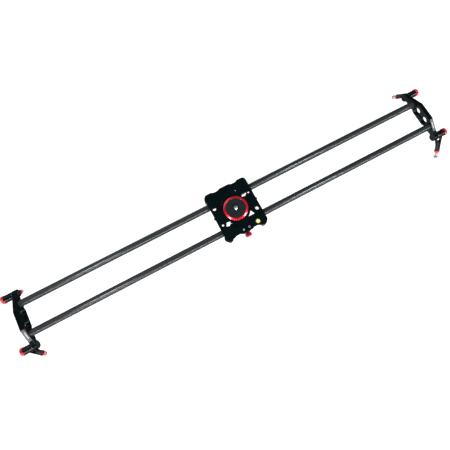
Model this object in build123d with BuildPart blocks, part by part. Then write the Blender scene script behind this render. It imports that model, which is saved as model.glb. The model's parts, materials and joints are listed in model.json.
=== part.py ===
from build123d import *
import os
from collections import namedtuple
from math import cos, radians, sin, sqrt

# A camera slider: two carbon tubes between arched end brackets, four folding legs with screw feet,
# and a four-wheel carriage with a 3/8-16 camera screw.
# Millimetres. X runs along the tubes, Y across them and Z up from the surface the feet stand on.
# The origin lies on that surface, below the camera screw.

# Rails
RAIL_LENGTH = 1200.0
RAIL_RADIUS = 9.0
RAIL_BORE_RADIUS = 7.5
RAIL_OFFSET_Y = 39.0
RAIL_Z = 76.5
CAP_FLANGE = 3.0
CAP_PLUG_LENGTH = 12.0

# End brackets; heights are measured from the tubes' axis
BRACKET_THICKNESS = 12.0
INNER_FACE_X = RAIL_LENGTH / 2 - BRACKET_THICKNESS
CREST_HALF_WIDTH = 24.0
CREST_HEIGHT = 19.0
SHOULDER_SLOPE = -0.449
BELLY_HALF_WIDTH = 21.5
BELLY_DEPTH = -14.5
WING_START_Y = 27.0
WING_DEPTH = -11.5
BRACKET_EDGE = 0.8
RAIL_SEAT_CLEARANCE = 0.05
WINDOW_RADIUS = 10.5
WINDOW_OFFSET_Y = 15.5
QUARTER_INCH_RADIUS = 3.175
TRIPOD_HOLE_DEPTH = 8.0
GRUB_RADIUS = 2.0
GRUB_SOCKET_RADIUS = 1.15
GRUB_SOCKET_DEPTH = 1.4
GRUB_RECESS = 0.2
LABEL_LENGTH = 34.0
LABEL_WIDTH = 9.4
LABEL_CORNER = 1.0
LABEL_THICKNESS = 0.4

# Leg hinges
PIVOT_Y = 69.5
PIVOT_DROP = 10.5
PIVOT_Z = RAIL_Z - PIVOT_DROP
BOLT_RADIUS = 3.0
BOLT_HEAD_RADIUS = 5.0
BOLT_HEAD_LENGTH = 5.0
BOLT_SOCKET_RADIUS = 2.9
BOLT_SOCKET_DEPTH = 3.0
BOLT_END_GAP = 0.5
HINGE_CLEARANCE = 0.05
WASHER_THICKNESS = 0.9
WASHER_RADIUS = 8.6
WASHER_CLEARANCE = 0.1
LOBE_RADIUS = 10.2
BARREL_RADIUS = 9.7
BARREL_LENGTH = 22.0
BARREL_START_X = RAIL_LENGTH / 2 + 1.0
BARREL_GROOVE_START = 11.0
BARREL_GROOVE_WIDTH = 0.8
BARREL_GROOVE_DEPTH = 0.5
KNOB_GAP = 0.3
KNOB_RADIUS = 11.0
KNOB_LENGTH = 6.6
KNOB_FLUTES = 20
KNOB_FLUTE_RADIUS = 1.2
KNOB_FLUTE_OFFSET = 0.6
KNOB_EDGE = 0.9
KNOB_RECESS_RADIUS = 7.5
KNOB_RECESS_DEPTH = 0.8
KNOB_BORE_DEPTH = 5.2

# Leg frames, measured along the barrel from its inner end and down the leg from the pivot
FOOT_AXIS_U = 15.0
ARM_THICKNESS = 6.0
ARM_BOSS_RADIUS = 6.5
ARM_BOSS_START = 25.0
ARM_TAPER_END = 36.0
ARM_LENGTH = 53.5
ARM_SHOULDER = 9.0
ARM_OPENING = [(4.4, 12.0), (18.4, 12.0), (18.2, 24.2), (8.2, 24.2)]
ARM_OPENING_CORNER = 1.2
STUD_RADIUS = 4.0
STUD_CLEARANCE = 0.08
STUD_LENGTH = 34.0
STUD_BORE_TOP = 26.0
STUD_EDGE = 0.6
RING_GAP = 0.3
LOCK_RING_LENGTH = 6.4
LOCK_RING_RADIUS = 7.2
LOCK_RING_FLUTES = 16
LOCK_RING_FLUTE_RADIUS = 0.9
LOCK_RING_FLUTE_OFFSET = 0.5
TIP_RADIUS = 5.5
TIP_DOME_RADIUS = 7.0
TIP_SKIRT = 2.5

# Carriage plate
PLATE_HALF_X = 60.0
PLATE_HALF_Y = 67.0
PLATE_VALLEY_DEPTH = 3.2
PLATE_BUMP_END_X = 13.5
PLATE_VALLEY_X = (20.0, 31.0)
PLATE_LOBE_START_X = 38.0
PLATE_WAVE_RADIUS = 4.5
PLATE_CORNER_RADIUS = 9.5
PLATE_BOTTOM_Z = RAIL_Z + 15.0
PLATE_THICKNESS = 8.5
PLATE_TOP_Z = PLATE_BOTTOM_Z + PLATE_THICKNESS
PLATE_EDGE = 0.7
ACCESSORY_X = 49.5
ACCESSORY_Y = 24.0
THREE_EIGHTHS_RADIUS = 4.7625
WINDOW_ARC_RADIUS = 38.5
WINDOW_ARC_END = 59.0
WINDOW_INNER_X = 20.5
WINDOW_OUTER_X = 40.0
WINDOW_TOP_Y = 38.5
WINDOW_CORNER = 1.5
INNER_HOLE_AT = (27.2, 29.3)
INNER_HOLE_RADIUS = 1.6
OUTER_HOLE_AT = (22.5, 42.5)
OUTER_HOLE_RADIUS = 2.6

# Camera mount
MOUNT_RING_RADIUS = 32.0
MOUNT_RING_BORE = 26.3
MOUNT_RING_HEIGHT = 3.7
MOUNT_RING_CROWN = 1.8
MOUNT_DISC_HEIGHT = 2.6
MOUNT_PAD_RADIUS = 25.9
MOUNT_PAD_HEIGHT = 1.4
MOUNT_PAD_BORE = 7.6
CAMERA_SCREW_TOP_Z = PLATE_TOP_Z + 10.0
CAMERA_SCREW_CLEARANCE = 0.3
CAMERA_SCREW_EDGE = 0.9
CAMERA_SLOT_WIDTH = 1.3
CAMERA_SLOT_DEPTH = 1.2
HAND_KNOB_RADIUS = 15.0
HAND_KNOB_Z = PLATE_BOTTOM_Z - 13.5
HAND_KNOB_HEIGHT = 12.5
HAND_KNOB_FLUTES = 12
HAND_KNOB_FLUTE_RADIUS = 2.6
HAND_KNOB_FLUTE_OFFSET = 1.4
HAND_KNOB_EDGE = 0.6
KNOB_WASHER_RADIUS = 10.0
KNOB_WASHER_THICKNESS = 0.8
MOUNT_SCREW_RADIUS = 1.5
RING_SCREW_CIRCLE = 29.15
DISC_SCREW_CIRCLE = 17.0
MOUNT_SCREW_HEAD_RADIUS = 2.8
MOUNT_SCREW_HEAD_LENGTH = 2.8
MOUNT_SOCKET_RADIUS = 1.4
MOUNT_SOCKET_DEPTH = 1.5
RING_SCREW_BITE = 2.4
DISC_SCREW_BITE = 1.8
CLIP_RADIUS = 7.0
CLIP_BORE = 4.0
CLIP_THICKNESS = 0.8
CLIP_GAP = 3.0
CLIP_Z = PLATE_TOP_Z + MOUNT_DISC_HEIGHT + 0.1

# Bubble level
LEVEL_AT = (34.5, -55.8)
LEVEL_RADIUS = 7.0
LEVEL_GLASS_RADIUS = 6.1
LEVEL_DEPTH = 5.0
LEVEL_FLOOR = 1.0
LEVEL_PROUD = 0.6
LEVEL_EDGE = 0.5

# Guide wheels
WHEEL_X = 48.5
WHEEL_TO_RAIL = 18.0
WHEEL_Y = RAIL_OFFSET_Y + WHEEL_TO_RAIL
WHEEL_RADIUS = 13.0
WHEEL_HALF_WIDTH = 9.0
WHEEL_EDGE = 0.4
WHEEL_BORE = 6.55
GROOVE_GAP = 0.3
BEARING_RADIUS = 6.5
BEARING_HALF_WIDTH = 9.2
AXLE_WASHER_THICKNESS = 1.2
AXLE_WASHER_RADIUS = 6.0
AXLE_HEAD_LENGTH = 5.5
AXLE_THREAD_DEPTH = 7.0
SPACER_RADIUS = 5.8

# Rail brake
BRAKE_BLOCK_HALF_X = 11.0
BRAKE_BLOCK_Y = (-65.5, -50.5)
BRAKE_BLOCK_DROP = 9.0
BRAKE_BLOCK_CORNER = 2.0
BRAKE_BLOCK_EDGE = 0.6
BRAKE_SCREW_X = 8.0
BRAKE_SCREW_Y = -58.5
BLOCK_SCREW_RADIUS = 1.5
BLOCK_SCREW_HEAD_RADIUS = 2.8
BLOCK_SCREW_HEAD_LENGTH = 1.7
BLOCK_SCREW_BITE = 12.0
BLOCK_SCREW_CROWN = 0.6
BLOCK_SOCKET_RADIUS = 1.45
BLOCK_SOCKET_DEPTH = 1.2
BRAKE_PAD_RADIUS = 4.5
BRAKE_PAD_LENGTH = 8.0
BRAKE_PAD_GAP = 0.8
BRAKE_PAD_BORE_DEPTH = 7.5
BRAKE_PAD_TRAVEL = 1.0
BRAKE_SOCKET_DEPTH = 3.0
BRAKE_TIP_RADIUS = 2.0
BRAKE_TIP_GAP = 0.2
BRAKE_SHOULDER_GAP = 0.7
BRAKE_SCREW_IN_KNOB = 8.0
BRAKE_KNOB_Y = (-78.3, -66.3)
BRAKE_KNOB_RADIUS = 9.2
BRAKE_KNOB_NECK = 4.6
BRAKE_NECK_LENGTH = 1.0
BRAKE_RIM_LENGTH = 8.3
BRAKE_RIM_EDGE = 1.0
BRAKE_FLARE_RADIUS = 7.7
BRAKE_FLARE_LENGTH = 10.2
BRAKE_KNOB_FLUTES = 12
BRAKE_KNOB_FLUTE_RADIUS = 1.5
BRAKE_KNOB_FLUTE_OFFSET = 0.7

# End-stop bumpers
BUMPER_RADIUS = 3.0
BUMPER_PROUD = 2.6
BUMPER_CROWN = 0.9
BUMPER_STEM_RADIUS = 1.5
BUMPER_STEM_LENGTH = 6.0

# Each leg: end (-1 left, +1 right), row (-1 near, +1 far) and its splay from upright in degrees
Leg = namedtuple("Leg", "name end row splay")
LEGS = [
    Leg("left_near", -1, -1, 20.75),
    Leg("left_far", -1, 1, 16.2),
    Leg("right_near", 1, -1, 37.4),
    Leg("right_far", 1, 1, 30.7),
]
# The two windows that follow the mount: the quadrant's signs and where the arc starts in degrees
Window = namedtuple("Window", "end row arc_start")
ARC_WINDOWS = [
    Window(1, -1, 32.0),
    Window(-1, 1, 41.0),
]
# The corners of the two five-sided windows in the other quadrants
SIDE_WINDOWS = [
    [(28.0, 19.7), (37.5, 18.6), (45.0, 24.5), (43.5, 32.5), (34.5, 31.0)],
    [(-27.5, -22.8), (-37.0, -21.0), (-43.0, -31.0), (-36.5, -33.8), (-31.0, -30.5)],
]
ENDS = {"left": -1, "right": 1}
CORNERS = {
    "left_near": (-1, -1),
    "left_far": (-1, 1),
    "right_near": (1, -1),
    "right_far": (1, 1),
}

os.makedirs("parts", exist_ok=True)


def save(part, name):
    """Label a finished piece and write it as parts/NAME.step."""
    part.label = name
    export_step(part, f"parts/{name}.step")


# ---------------------------------------------------------------- planes

def end_plane(end, x):
    """The plane across the rails at |X| = x, facing outward at that end, with its own Y upward."""
    return Plane(origin=(end * x, 0, RAIL_Z), x_dir=(0, end, 0), z_dir=(end, 0, 0))


def pivot_plane(leg, u):
    """The plane across a leg's hinge, at u along the barrel from its inner end, facing outward."""
    x = leg.end * (BARREL_START_X + u)
    origin = (x, leg.row * PIVOT_Y, PIVOT_Z)
    return Plane(origin=origin, x_dir=(0, leg.end, 0), z_dir=(leg.end, 0, 0))


def leg_plane(leg):
    """The plane of a leg's frame: X along the barrel outward, Y down the leg, origin on the hinge."""
    splay = radians(leg.splay)
    normal = (0, leg.end * cos(splay), leg.end * leg.row * sin(splay))
    return Plane(origin=pivot_plane(leg, 0).origin, x_dir=(leg.end, 0, 0), z_dir=normal)


def foot_plane(leg, along):
    """The plane across a foot's axis, at a distance down the leg from the hinge, facing the foot."""
    splay = radians(leg.splay)
    down = (0, leg.row * sin(splay), -cos(splay))
    hinge = pivot_plane(leg, FOOT_AXIS_U).origin
    return Plane(origin=hinge + Vector(*down) * along, x_dir=(leg.end, 0, 0), z_dir=down)


def tip_centre(leg):
    """How far down the leg the tip's dome has its centre when the dome touches the ground."""
    return (PIVOT_Z - TIP_DOME_RADIUS) / cos(radians(leg.splay))


def tip_start(leg):
    """How far down the leg the rubber tip begins."""
    dome_base = tip_centre(leg) + sqrt(TIP_DOME_RADIUS**2 - TIP_RADIUS**2)
    return dome_base - TIP_SKIRT


# ---------------------------------------------------------------- rails

def rail_tube(row):
    """One carbon tube, shorter than the rail by the two cap flanges."""
    half = RAIL_LENGTH / 2 - CAP_FLANGE
    start = Plane(origin=(-half, row * RAIL_OFFSET_Y, RAIL_Z), x_dir=(0, 1, 0), z_dir=(1, 0, 0))
    with BuildPart() as tube:
        with BuildSketch(start):
            Circle(RAIL_RADIUS)
            Circle(RAIL_BORE_RADIUS, mode=Mode.SUBTRACT)
        extrude(amount=2 * half)
    return tube.part


def rail_end_caps():
    """Four plastic caps that close the tubes, flush with the brackets' outer faces."""
    with BuildPart() as caps:
        for end in ENDS.values():
            with BuildSketch(end_plane(end, RAIL_LENGTH / 2)):
                with Locations((-RAIL_OFFSET_Y, 0), (RAIL_OFFSET_Y, 0)):
                    Circle(RAIL_RADIUS)
            extrude(amount=-CAP_FLANGE)
            with BuildSketch(end_plane(end, RAIL_LENGTH / 2 - CAP_FLANGE)):
                with Locations((-RAIL_OFFSET_Y, 0), (RAIL_OFFSET_Y, 0)):
                    Circle(RAIL_BORE_RADIUS)
            extrude(amount=-CAP_PLUG_LENGTH)
    return caps.part


# ---------------------------------------------------------------- end brackets

def shoulder_height(y):
    """Height of the sloping top facet above the tubes' axis, at a distance y from the middle."""
    return CREST_HEIGHT + SHOULDER_SLOPE * (y - CREST_HALF_WIDTH)


def end_bracket(end):
    """An arched aluminium bracket with a round hinge lobe at each side."""
    outline = [
        (CREST_HALF_WIDTH, CREST_HEIGHT),
        (PIVOT_Y, shoulder_height(PIVOT_Y)),
        (PIVOT_Y, WING_DEPTH),
        (WING_START_Y, WING_DEPTH),
        (BELLY_HALF_WIDTH, BELLY_DEPTH),
    ]
    mirrored = [(-y, z) for y, z in reversed(outline)]
    lobes = [(-PIVOT_Y, -PIVOT_DROP), (PIVOT_Y, -PIVOT_DROP)]
    inner = end_plane(end, INNER_FACE_X)
    with BuildPart() as bracket:
        with BuildSketch(inner):
            Polygon(*outline, *mirrored, align=None)
            with Locations(*lobes):
                Circle(LOBE_RADIUS)
        extrude(amount=BRACKET_THICKNESS)
        for facing in (-end, end):
            rim = bracket.faces().sort_by(Axis((0, 0, 0), (facing, 0, 0)))[-1]
            chamfer(rim.outer_wire().edges(), BRACKET_EDGE)
        with BuildSketch(inner):
            with Locations((-RAIL_OFFSET_Y, 0), (RAIL_OFFSET_Y, 0)):
                Circle(RAIL_RADIUS + RAIL_SEAT_CLEARANCE)
            with Locations((-WINDOW_OFFSET_Y, 0), (WINDOW_OFFSET_Y, 0)):
                Circle(WINDOW_RADIUS)
            with Locations(*lobes):
                Circle(BOLT_RADIUS + HINGE_CLEARANCE)
            Circle(QUARTER_INCH_RADIUS)
        extrude(amount=BRACKET_THICKNESS, mode=Mode.SUBTRACT)
        with BuildSketch(inner):
            with Locations(*lobes):
                Circle(BOLT_HEAD_RADIUS + HINGE_CLEARANCE)
        extrude(amount=BOLT_HEAD_LENGTH + KNOB_GAP, mode=Mode.SUBTRACT)
        middle_x = end * (INNER_FACE_X + BRACKET_THICKNESS / 2)
        with BuildSketch(Plane.XY.offset(RAIL_Z + BELLY_DEPTH)):
            with Locations((middle_x, 0)):
                Circle(QUARTER_INCH_RADIUS)
        extrude(amount=TRIPOD_HOLE_DEPTH, mode=Mode.SUBTRACT)
        with BuildSketch(Plane.XY.offset(RAIL_Z + WING_DEPTH)):
            with Locations((middle_x, -RAIL_OFFSET_Y), (middle_x, RAIL_OFFSET_Y)):
                Circle(GRUB_RADIUS)
        extrude(amount=-WING_DEPTH, mode=Mode.SUBTRACT)
    return bracket.part


def tube_grub_screws():
    """Four socket set screws that hold the tubes from below."""
    middle_x = INNER_FACE_X + BRACKET_THICKNESS / 2
    spots = [(end * middle_x, row * RAIL_OFFSET_Y) for end in (-1, 1) for row in (-1, 1)]
    bottom = RAIL_Z + WING_DEPTH + GRUB_RECESS
    top = RAIL_Z - RAIL_RADIUS
    with BuildPart() as screws:
        with BuildSketch(Plane.XY.offset(bottom)):
            with Locations(*spots):
                Circle(GRUB_RADIUS)
        extrude(amount=top - bottom)
        with BuildSketch(Plane.XY.offset(bottom)):
            with Locations(*spots):
                RegularPolygon(GRUB_SOCKET_RADIUS, 6)
        extrude(amount=GRUB_SOCKET_DEPTH, mode=Mode.SUBTRACT)
    return screws.part


def label_plates():
    """A blank aluminium plate on each bracket's near shoulder."""
    y = (CREST_HALF_WIDTH + PIVOT_Y - LOBE_RADIUS) / 2
    along = Vector(0, -1, SHOULDER_SLOPE).normalized()
    normal = Vector(0, SHOULDER_SLOPE, 1).normalized()
    with BuildPart() as plates:
        for end in ENDS.values():
            x = end * (INNER_FACE_X + BRACKET_THICKNESS / 2)
            seat = Plane(
                origin=(x, -y, RAIL_Z + shoulder_height(y)),
                x_dir=tuple(along),
                z_dir=tuple(normal),
            )
            with BuildSketch(seat):
                RectangleRounded(LABEL_LENGTH, LABEL_WIDTH, LABEL_CORNER)
            extrude(amount=LABEL_THICKNESS)
    return plates.part


# ---------------------------------------------------------------- legs

def leg_hinge_bolts():
    """Four cap screws, each through a lobe and a leg's barrel into the lock knob."""
    head_start = INNER_FACE_X + KNOB_GAP - BARREL_START_X
    shank_end = BARREL_LENGTH + KNOB_GAP + KNOB_BORE_DEPTH - BOLT_END_GAP
    with BuildPart() as bolts:
        for leg in LEGS:
            with BuildSketch(pivot_plane(leg, head_start)):
                Circle(BOLT_HEAD_RADIUS)
            extrude(amount=BOLT_HEAD_LENGTH)
            with BuildSketch(pivot_plane(leg, head_start)):
                Circle(BOLT_RADIUS)
            extrude(amount=shank_end - head_start)
            with BuildSketch(pivot_plane(leg, head_start)):
                RegularPolygon(BOLT_SOCKET_RADIUS, 6)
            extrude(amount=BOLT_SOCKET_DEPTH, mode=Mode.SUBTRACT)
    return bolts.part


def leg_friction_washers():
    """Four thin washers between the brackets' lobes and the legs' barrels."""
    with BuildPart() as washers:
        for leg in LEGS:
            with BuildSketch(pivot_plane(leg, RAIL_LENGTH / 2 - BARREL_START_X)):
                Circle(WASHER_RADIUS)
                Circle(BOLT_RADIUS + WASHER_CLEARANCE, mode=Mode.SUBTRACT)
            extrude(amount=WASHER_THICKNESS)
    return washers.part


def leg_arm(leg):
    """One cast leg: a hinge barrel and a tapering two-bar frame that ends in a round boss."""
    boss_inner = FOOT_AXIS_U - ARM_BOSS_RADIUS
    boss_outer = FOOT_AXIS_U + ARM_BOSS_RADIUS
    frame_outline = [
        (0, 0),
        (BARREL_LENGTH, 0),
        (BARREL_LENGTH, ARM_SHOULDER),
        (boss_outer, ARM_TAPER_END),
        (boss_outer, ARM_LENGTH),
        (boss_inner, ARM_LENGTH),
        (boss_inner, ARM_TAPER_END),
        (0, ARM_SHOULDER),
    ]
    with BuildPart() as arm:
        with BuildSketch(leg_plane(leg)):
            Polygon(*frame_outline, align=None)
        extrude(amount=ARM_THICKNESS / 2, both=True)
        with BuildSketch(leg_plane(leg)) as cut:
            Polygon(*ARM_OPENING, align=None)
            fillet(cut.vertices(), ARM_OPENING_CORNER)
        extrude(amount=ARM_THICKNESS / 2, both=True, mode=Mode.SUBTRACT)
        with BuildSketch(pivot_plane(leg, 0)):
            Circle(BARREL_RADIUS)
        extrude(amount=BARREL_LENGTH)
        with BuildSketch(foot_plane(leg, ARM_BOSS_START)):
            Circle(ARM_BOSS_RADIUS)
        extrude(amount=ARM_LENGTH - ARM_BOSS_START)
        with BuildSketch(pivot_plane(leg, BARREL_GROOVE_START)):
            Circle(BARREL_RADIUS)
            Circle(BARREL_RADIUS - BARREL_GROOVE_DEPTH, mode=Mode.SUBTRACT)
        extrude(amount=BARREL_GROOVE_WIDTH, mode=Mode.SUBTRACT)
        with BuildSketch(pivot_plane(leg, 0)):
            Circle(BOLT_RADIUS + HINGE_CLEARANCE)
        extrude(amount=BARREL_LENGTH, mode=Mode.SUBTRACT)
        with BuildSketch(foot_plane(leg, STUD_BORE_TOP)):
            Circle(STUD_RADIUS + STUD_CLEARANCE)
        extrude(amount=ARM_LENGTH - STUD_BORE_TOP, mode=Mode.SUBTRACT)
    return arm.part


def lock_knob(leg):
    """The fluted red knob that clamps a leg's hinge."""
    start = BARREL_LENGTH + KNOB_GAP
    with BuildPart() as knob:
        with BuildSketch(pivot_plane(leg, start)):
            Circle(KNOB_RADIUS)
            with PolarLocations(KNOB_RADIUS + KNOB_FLUTE_OFFSET, KNOB_FLUTES):
                Circle(KNOB_FLUTE_RADIUS, mode=Mode.SUBTRACT)
        extrude(amount=KNOB_LENGTH)
        rims = knob.faces().filter_by(Axis.X)
        chamfer(rims.edges(), KNOB_EDGE)
        with BuildSketch(pivot_plane(leg, start + KNOB_LENGTH)):
            Circle(KNOB_RECESS_RADIUS)
        extrude(amount=-KNOB_RECESS_DEPTH, mode=Mode.SUBTRACT)
        with BuildSketch(pivot_plane(leg, start)):
            Circle(BOLT_RADIUS + HINGE_CLEARANCE)
        extrude(amount=KNOB_BORE_DEPTH, mode=Mode.SUBTRACT)
    return knob.part


def foot_lock_ring(leg):
    """The fluted red ring that jams a foot's stud against the leg."""
    with BuildPart() as ring:
        with BuildSketch(foot_plane(leg, ARM_LENGTH + RING_GAP)):
            Circle(LOCK_RING_RADIUS)
            with PolarLocations(LOCK_RING_RADIUS + LOCK_RING_FLUTE_OFFSET, LOCK_RING_FLUTES):
                Circle(LOCK_RING_FLUTE_RADIUS, mode=Mode.SUBTRACT)
            Circle(STUD_RADIUS + RING_GAP, mode=Mode.SUBTRACT)
        extrude(amount=LOCK_RING_LENGTH)
    return ring.part


def foot_stud(leg):
    """The steel stud that screws into the leg."""
    end = tip_start(leg) + TIP_SKIRT
    with BuildPart() as stud:
        with BuildSketch(foot_plane(leg, end - STUD_LENGTH)):
            Circle(STUD_RADIUS)
        extrude(amount=STUD_LENGTH)
        chamfer(stud.edges().filter_by(GeomType.CIRCLE), STUD_EDGE)
    return stud.part


def foot_tip(leg):
    """The domed rubber tip pressed over the stud's end."""
    start = tip_start(leg)
    axis_plane = foot_plane(leg, 0)
    section = Plane(
        origin=axis_plane.origin, x_dir=axis_plane.x_dir, z_dir=-axis_plane.y_dir
    )
    dome_end = tip_centre(leg) + TIP_DOME_RADIUS
    half_chord = TIP_RADIUS / 2
    mid_height = tip_centre(leg) + sqrt(TIP_DOME_RADIUS**2 - half_chord**2)
    with BuildPart() as tip:
        with BuildSketch(section):
            with BuildLine():
                Polyline(
                    (0, dome_end),
                    (0, start + TIP_SKIRT),
                    (STUD_RADIUS, start + TIP_SKIRT),
                    (STUD_RADIUS, start),
                    (TIP_RADIUS, start),
                    (TIP_RADIUS, start + TIP_SKIRT),
                )
                ThreePointArc(
                    (TIP_RADIUS, start + TIP_SKIRT), (half_chord, mid_height), (0, dome_end)
                )
            make_face()
        revolve(axis=Axis(axis_plane.origin, axis_plane.z_dir))
    return tip.part


# ---------------------------------------------------------------- carriage

def plate_edge_points(row):
    """The wavy long edge from left to right: a corner, a valley, a middle bump, a valley and a corner."""
    lobe = row * PLATE_HALF_Y
    valley = row * (PLATE_HALF_Y - PLATE_VALLEY_DEPTH)
    half = [
        (PLATE_BUMP_END_X, lobe),
        (PLATE_VALLEY_X[0], valley),
        (PLATE_VALLEY_X[1], valley),
        (PLATE_LOBE_START_X, lobe),
        (PLATE_HALF_X, lobe),
    ]
    return [(-x, y) for x, y in reversed(half)] + half


def corner_spots(x, y):
    """The four points at (+-x, +-y)."""
    return [(end * x, row * y) for end in (-1, 1) for row in (-1, 1)]


def window_arc_point(window, angle):
    """A point of a window's inner arc, which runs round the camera mount."""
    x = WINDOW_ARC_RADIUS * cos(radians(angle))
    y = WINDOW_ARC_RADIUS * sin(radians(angle))
    return (window.end * x, window.row * y)


def carriage_plate():
    """The aluminium plate: wavy long edges, four windows, accessory holes and screw pockets."""
    with BuildPart() as plate:
        with BuildSketch(Plane.XY.offset(PLATE_BOTTOM_Z)) as outline:
            near = plate_edge_points(-1)
            far = plate_edge_points(1)
            Polygon(*near, *reversed(far), align=None)
            corners = outline.vertices().filter_by(lambda v: abs(v.X) > PLATE_LOBE_START_X + 1)
            fillet(corners, PLATE_CORNER_RADIUS)
            waves = outline.vertices().filter_by(lambda v: abs(v.X) < PLATE_LOBE_START_X + 1)
            fillet(waves, PLATE_WAVE_RADIUS)
        extrude(amount=PLATE_THICKNESS)
        top = plate.faces().sort_by(Axis.Z)[-1]
        chamfer(top.outer_wire().edges(), PLATE_EDGE)
        for window in ARC_WINDOWS:
            arc_middle = (window.arc_start + WINDOW_ARC_END) / 2
            low = window_arc_point(window, window.arc_start)
            high = window_arc_point(window, WINDOW_ARC_END)
            inner_corner = (window.end * WINDOW_INNER_X, window.row * WINDOW_TOP_Y)
            outer_corner = (window.end * WINDOW_OUTER_X, window.row * WINDOW_TOP_Y)
            with BuildSketch(Plane.XY.offset(PLATE_BOTTOM_Z)) as opening:
                with BuildLine():
                    ThreePointArc(low, window_arc_point(window, arc_middle), high)
                    Polyline(high, inner_corner, outer_corner, low)
                make_face()
                fillet(opening.vertices(), WINDOW_CORNER)
            extrude(amount=PLATE_THICKNESS, mode=Mode.SUBTRACT)
        for corners in SIDE_WINDOWS:
            with BuildSketch(Plane.XY.offset(PLATE_BOTTOM_Z)) as opening:
                Polygon(*corners, align=None)
                fillet(opening.vertices(), WINDOW_CORNER)
            extrude(amount=PLATE_THICKNESS, mode=Mode.SUBTRACT)
        with BuildSketch(Plane.XY.offset(PLATE_BOTTOM_Z)):
            with Locations(INNER_HOLE_AT, (-INNER_HOLE_AT[0], -INNER_HOLE_AT[1])):
                Circle(INNER_HOLE_RADIUS)
            with Locations((-ACCESSORY_X, ACCESSORY_Y), (ACCESSORY_X, -ACCESSORY_Y)):
                Circle(THREE_EIGHTHS_RADIUS)
            with Locations((ACCESSORY_X, ACCESSORY_Y), (-ACCESSORY_X, -ACCESSORY_Y)):
                Circle(QUARTER_INCH_RADIUS)
            with Locations(OUTER_HOLE_AT, (-OUTER_HOLE_AT[0], -OUTER_HOLE_AT[1])):
                Circle(OUTER_HOLE_RADIUS)
            with Locations((-BRAKE_SCREW_X, BRAKE_SCREW_Y), (BRAKE_SCREW_X, BRAKE_SCREW_Y)):
                Circle(BLOCK_SCREW_RADIUS)
            with PolarLocations(RING_SCREW_CIRCLE, 4, start_angle=45):
                Circle(MOUNT_SCREW_RADIUS)
            with PolarLocations(DISC_SCREW_CIRCLE, 4):
                Circle(MOUNT_SCREW_RADIUS)
            Circle(THREE_EIGHTHS_RADIUS + CAMERA_SCREW_CLEARANCE)
        extrude(amount=PLATE_THICKNESS, mode=Mode.SUBTRACT)
        with BuildSketch(Plane.XY.offset(PLATE_BOTTOM_Z)):
            with PolarLocations(RING_SCREW_CIRCLE, 4, start_angle=45):
                Circle(MOUNT_SCREW_HEAD_RADIUS)
            with PolarLocations(DISC_SCREW_CIRCLE, 4):
                Circle(MOUNT_SCREW_HEAD_RADIUS)
        extrude(amount=MOUNT_SCREW_HEAD_LENGTH, mode=Mode.SUBTRACT)
        with BuildSketch(Plane.XY.offset(PLATE_BOTTOM_Z)):
            with Locations(*corner_spots(WHEEL_X, WHEEL_Y)):
                Circle(BOLT_RADIUS)
        extrude(amount=AXLE_THREAD_DEPTH, mode=Mode.SUBTRACT)
        with BuildSketch(Plane.XY.offset(PLATE_TOP_Z)):
            with Locations(LEVEL_AT):
                Circle(LEVEL_RADIUS)
        extrude(amount=-LEVEL_DEPTH, mode=Mode.SUBTRACT)
        for end in ENDS.values():
            with BuildSketch(bumper_plane(end)):
                Circle(BUMPER_STEM_RADIUS)
            extrude(amount=-BUMPER_STEM_LENGTH, mode=Mode.SUBTRACT)
    return plate.part


def bumper_plane(end):
    """The plane of one short side of the plate, centred where its bumper sits."""
    origin = (end * PLATE_HALF_X, 0, PLATE_BOTTOM_Z + BUMPER_RADIUS)
    return Plane(origin=origin, x_dir=(0, end, 0), z_dir=(end, 0, 0))


def end_stop_bumpers():
    """Two rubber buttons that meet the end brackets."""
    with BuildPart() as bumpers:
        for end in ENDS.values():
            with BuildSketch(bumper_plane(end)):
                Circle(BUMPER_RADIUS)
            extrude(amount=BUMPER_PROUD)
            crown = bumpers.faces().sort_by(Axis((0, 0, 0), (end, 0, 0)))[-1]
            fillet(crown.edges(), BUMPER_CROWN)
            with BuildSketch(bumper_plane(end)):
                Circle(BUMPER_STEM_RADIUS)
            extrude(amount=-BUMPER_STEM_LENGTH)
    return bumpers.part


# ---------------------------------------------------------------- camera mount

def mount_ring():
    """The red anodised ring round the camera's seat."""
    with BuildPart() as ring:
        with BuildSketch(Plane.XY.offset(PLATE_TOP_Z)):
            Circle(MOUNT_RING_RADIUS)
            Circle(MOUNT_RING_BORE, mode=Mode.SUBTRACT)
        extrude(amount=MOUNT_RING_HEIGHT)
        crown = ring.faces().sort_by(Axis.Z)[-1]
        fillet(crown.edges(), MOUNT_RING_CROWN)
        with BuildSketch(Plane.XY.offset(PLATE_TOP_Z)):
            with PolarLocations(RING_SCREW_CIRCLE, 4, start_angle=45):
                Circle(MOUNT_SCREW_RADIUS)
        extrude(amount=RING_SCREW_BITE, mode=Mode.SUBTRACT)
    return ring.part


def mount_disc():
    """The aluminium disc under the pad."""
    with BuildPart() as disc:
        with BuildSketch(Plane.XY.offset(PLATE_TOP_Z)):
            Circle(MOUNT_PAD_RADIUS)
            Circle(THREE_EIGHTHS_RADIUS + CAMERA_SCREW_CLEARANCE, mode=Mode.SUBTRACT)
        extrude(amount=MOUNT_DISC_HEIGHT)
        with BuildSketch(Plane.XY.offset(PLATE_TOP_Z)):
            with PolarLocations(DISC_SCREW_CIRCLE, 4):
                Circle(MOUNT_SCREW_RADIUS)
        extrude(amount=DISC_SCREW_BITE, mode=Mode.SUBTRACT)
    return disc.part


def mount_pad():
    """The rubber pad that the camera or head stands on."""
    with BuildPart() as pad:
        with BuildSketch(Plane.XY.offset(PLATE_TOP_Z + MOUNT_DISC_HEIGHT)):
            Circle(MOUNT_PAD_RADIUS)
            Circle(MOUNT_PAD_BORE, mode=Mode.SUBTRACT)
        extrude(amount=MOUNT_PAD_HEIGHT)
    return pad.part


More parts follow.
